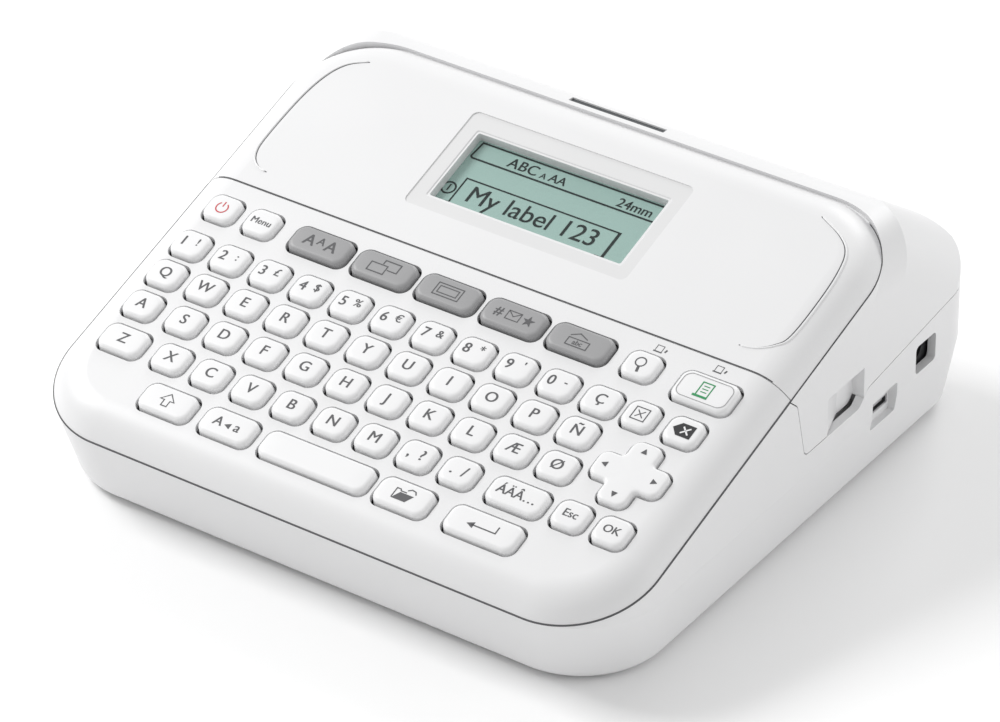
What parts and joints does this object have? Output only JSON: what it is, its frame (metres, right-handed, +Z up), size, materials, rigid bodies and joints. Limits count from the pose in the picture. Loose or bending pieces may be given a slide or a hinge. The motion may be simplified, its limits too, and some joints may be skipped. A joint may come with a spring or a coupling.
{
  "type": "label maker",
  "caption": "Desktop label maker with a sloped keyboard, a small display and a rear hood that hinges open over the tape cassette, print drive and cells.",
  "frame": {"origin": "middle of the footprint, on the table", "axes": "+X to the user's right along the keyboard, +Y away from the user, +Z up"},
  "size_m": [0.188, 0.178, 0.0719],
  "materials": {
    "white_housing": "fine satin texture",
    "white_keys": "smooth satin",
    "grey_keys": "smooth satin",
    "inner_plastic": "fine texture",
    "clear_window": "clear",
    "lcd_glass": "gloss",
    "circuit_board": "solder mask",
    "silicone": "matte",
    "rubber": "matte",
    "steel": "brushed",
    "aluminium": "brushed",
    "black_plastic": "fine texture",
    "gear_plastic": "smooth",
    "cassette_plastic": "fine texture",
    "cell_wrap": "printed sleeve",
    "contact_metal": "nickel plate"
  },
  "bodies": {
    "case": {"bottom_case": "white_housing", "keyboard_cover": "white_housing", "hinge_pins": "steel", "rubber_feet": "rubber", "case_screws": "steel", "rubber_keypad": "silicone", "keypad_board": "circuit_board", "main_board": "circuit_board", "dc_jack": "black_plastic", "usb_socket": "steel", "jack_board": "circuit_board", "batteries": "cell_wrap", "battery_contacts": "contact_metal", "bay_tray": "inner_plastic", "print_chassis": "steel", "feed_motor": "steel", "print_head": "black_plastic", "head_heatsink": "aluminium", "tape_cassette": "cassette_plastic", "fixed_blade": "steel", "cutter_pin": "steel", "roller_holder": "inner_plastic"},
    "hood": {"display_cover": "white_housing", "rear_lid": "white_housing", "tape_window": "clear_window", "hood_lining": "inner_plastic", "screen_window": "clear_window", "lcd_panel": "lcd_glass", "lcd_board": "circuit_board"},
    "platen": {"platen_roller": "rubber", "platen_gear": "gear_plastic"},
    "pinion": {"motor_pinion": "gear_plastic"},
    "idler": {"idler_gear": "gear_plastic"},
    "spindle": {"ribbon_spindle": "gear_plastic"},
    "lever": {"cutter_lever": "inner_plastic"},
    "blade": {"cutter_blade": "steel"},
    "power_button": {"power_key": "white_keys"},
    "menu_button": {"menu_key": "white_keys"},
    "font_button": {"font_key": "grey_keys"},
    "size_button": {"size_key": "grey_keys"},
    "frame_button": {"frame_key": "grey_keys"},
    "symbol_button": {"symbol_key": "grey_keys"},
    "label_button": {"label_key": "grey_keys"},
    "search_button": {"search_key": "white_keys"},
    "print_button": {"print_key": "white_keys"},
    "insert_button": {"insert_key": "white_keys"},
    "backspace_button": {"backspace_key": "white_keys"},
    "accent_button": {"accent_key": "white_keys"},
    "escape_button": {"escape_key": "white_keys"},
    "ok_button": {"ok_key": "white_keys"},
    "shift_button": {"shift_key": "white_keys"},
    "caps_button": {"caps_key": "white_keys"},
    "space_button": {"space_key": "white_keys"},
    "recall_button": {"recall_key": "white_keys"},
    "enter_button": {"enter_key": "white_keys"},
    "cursor_button": {"cursor_key": "white_keys"},
    "digit_row": {"digit_keys": "white_keys"},
    "upper_letter_row": {"upper_letter_keys": "white_keys"},
    "middle_letter_row": {"middle_letter_keys": "white_keys"},
    "lower_letter_row": {"lower_letter_keys": "white_keys"}
  },
  "joints": [
    {"name": "hood_hinge", "type": "hinge", "parent": "case", "child": "hood", "pos_m": [0, 0.086, 0.032], "axis": [-1, 0, 0], "range_deg": [0, 80]},
    {"name": "platen_spin", "type": "hinge", "parent": "case", "child": "platen", "pos_m": [-0.064, 0.064, 0.025], "axis": [0, 0, 1], "continuous": true},
    {"name": "idler_spin", "type": "hinge", "parent": "case", "child": "idler", "pos_m": [-0.05221, 0.05719, 0.01], "axis": [0, 0, 1], "continuous": true},
    {"name": "spindle_spin", "type": "hinge", "parent": "case", "child": "spindle", "pos_m": [-0.04215, 0.03977, 0.01], "axis": [0, 0, 1], "continuous": true},
    {"name": "pinion_spin", "type": "hinge", "parent": "case", "child": "pinion", "pos_m": [-0.04614, 0.06769, 0.01], "axis": [0, 0, 1], "continuous": true},
    {"name": "lever_press", "type": "hinge", "parent": "case", "child": "lever", "pos_m": [-0.0908, 0.075, 0.022], "axis": [0, 0, 1], "range_deg": [0, 16]},
    {"name": "blade_slide", "type": "slide", "parent": "case", "child": "blade", "axis": [0, -1, 0], "range_m": [0, 0.003], "stiffness_N_per_m": 240},
    {"name": "power_button_press", "type": "slide", "parent": "case", "child": "power_button", "axis": [0, 0.31, -0.9507], "range_m": [0, 0.0013], "stiffness_N_per_m": 400},
    {"name": "menu_button_press", "type": "slide", "parent": "case", "child": "menu_button", "axis": [0, 0.31, -0.9507], "range_m": [0, 0.0013], "stiffness_N_per_m": 400},
    {"name": "font_button_press", "type": "slide", "parent": "case", "child": "font_button", "axis": [0, 0.31, -0.9507], "range_m": [0, 0.0013], "stiffness_N_per_m": 400},
    {"name": "size_button_press", "type": "slide", "parent": "case", "child": "size_button", "axis": [0, 0.31, -0.9507], "range_m": [0, 0.0013], "stiffness_N_per_m": 400},
    {"name": "frame_button_press", "type": "slide", "parent": "case", "child": "frame_button", "axis": [0, 0.31, -0.9507], "range_m": [0, 0.0013], "stiffness_N_per_m": 400},
    {"name": "symbol_button_press", "type": "slide", "parent": "case", "child": "symbol_button", "axis": [0, 0.31, -0.9507], "range_m": [0, 0.0013], "stiffness_N_per_m": 400},
    {"name": "label_button_press", "type": "slide", "parent": "case", "child": "label_button", "axis": [0, 0.31, -0.9507], "range_m": [0, 0.0013], "stiffness_N_per_m": 400},
    {"name": "search_button_press", "type": "slide", "parent": "case", "child": "search_button", "axis": [0, 0.31, -0.9507], "range_m": [0, 0.0013], "stiffness_N_per_m": 400},
    {"name": "print_button_press", "type": "slide", "parent": "case", "child": "print_button", "axis": [0, 0.31, -0.9507], "range_m": [0, 0.0013], "stiffness_N_per_m": 400},
    {"name": "insert_button_press", "type": "slide", "parent": "case", "child": "insert_button", "axis": [0, 0.31, -0.9507], "range_m": [0, 0.0013], "stiffness_N_per_m": 400},
    {"name": "backspace_button_press", "type": "slide", "parent": "case", "child": "backspace_button", "axis": [0, 0.31, -0.9507], "range_m": [0, 0.0013], "stiffness_N_per_m": 400},
    {"name": "accent_button_press", "type": "slide", "parent": "case", "child": "accent_button", "axis": [0, 0.31, -0.9507], "range_m": [0, 0.0013], "stiffness_N_per_m": 400},
    {"name": "escape_button_press", "type": "slide", "parent": "case", "child": "escape_button", "axis": [0, 0.31, -0.9507], "range_m": [0, 0.0013], "stiffness_N_per_m": 400},
    {"name": "ok_button_press", "type": "slide", "parent": "case", "child": "ok_button", "axis": [0, 0.31, -0.9507], "range_m": [0, 0.0013], "stiffness_N_per_m": 400},
    {"name": "shift_button_press", "type": "slide", "parent": "case", "child": "shift_button", "axis": [0, 0.31, -0.9507], "range_m": [0, 0.0013], "stiffness_N_per_m": 400},
    {"name": "caps_button_press", "type": "slide", "parent": "case", "child": "caps_button", "axis": [0, 0.31, -0.9507], "range_m": [0, 0.0013], "stiffness_N_per_m": 400},
    {"name": "space_button_press", "type": "slide", "parent": "case", "child": "space_button", "axis": [0, 0.31, -0.9507], "range_m": [0, 0.0013], "stiffness_N_per_m": 400},
    {"name": "recall_button_press", "type": "slide", "parent": "case", "child": "recall_button", "axis": [0, 0.31, -0.9507], "range_m": [0, 0.0013], "stiffness_N_per_m": 400},
    {"name": "enter_button_press", "type": "slide", "parent": "case", "child": "enter_button", "axis": [0, 0.31, -0.9507], "range_m": [0, 0.0013], "stiffness_N_per_m": 400},
    {"name": "cursor_button_press", "type": "slide", "parent": "case", "child": "cursor_button", "axis": [0, 0.31, -0.9507], "range_m": [0, 0.0013], "stiffness_N_per_m": 400},
    {"name": "digit_row_press", "type": "slide", "parent": "case", "child": "digit_row", "axis": [0, 0.31, -0.9507], "range_m": [0, 0.0013], "stiffness_N_per_m": 400},
    {"name": "upper_letter_row_press", "type": "slide", "parent": "case", "child": "upper_letter_row", "axis": [0, 0.31, -0.9507], "range_m": [0, 0.0013], "stiffness_N_per_m": 400},
    {"name": "middle_letter_row_press", "type": "slide", "parent": "case", "child": "middle_letter_row", "axis": [0, 0.31, -0.9507], "range_m": [0, 0.0013], "stiffness_N_per_m": 400},
    {"name": "lower_letter_row_press", "type": "slide", "parent": "case", "child": "lower_letter_row", "axis": [0, 0.31, -0.9507], "range_m": [0, 0.0013], "stiffness_N_per_m": 400}
  ],
  "couplings": [
    {"joint": "idler_spin", "follows": "spindle_spin", "ratio": -1.2222},
    {"joint": "platen_spin", "follows": "spindle_spin", "ratio": 2.4444},
    {"joint": "pinion_spin", "follows": "spindle_spin", "ratio": 3.6667},
    {"joint": "lever_press", "follows": "blade_slide", "rad_per_m": 69.81}
  ]
}
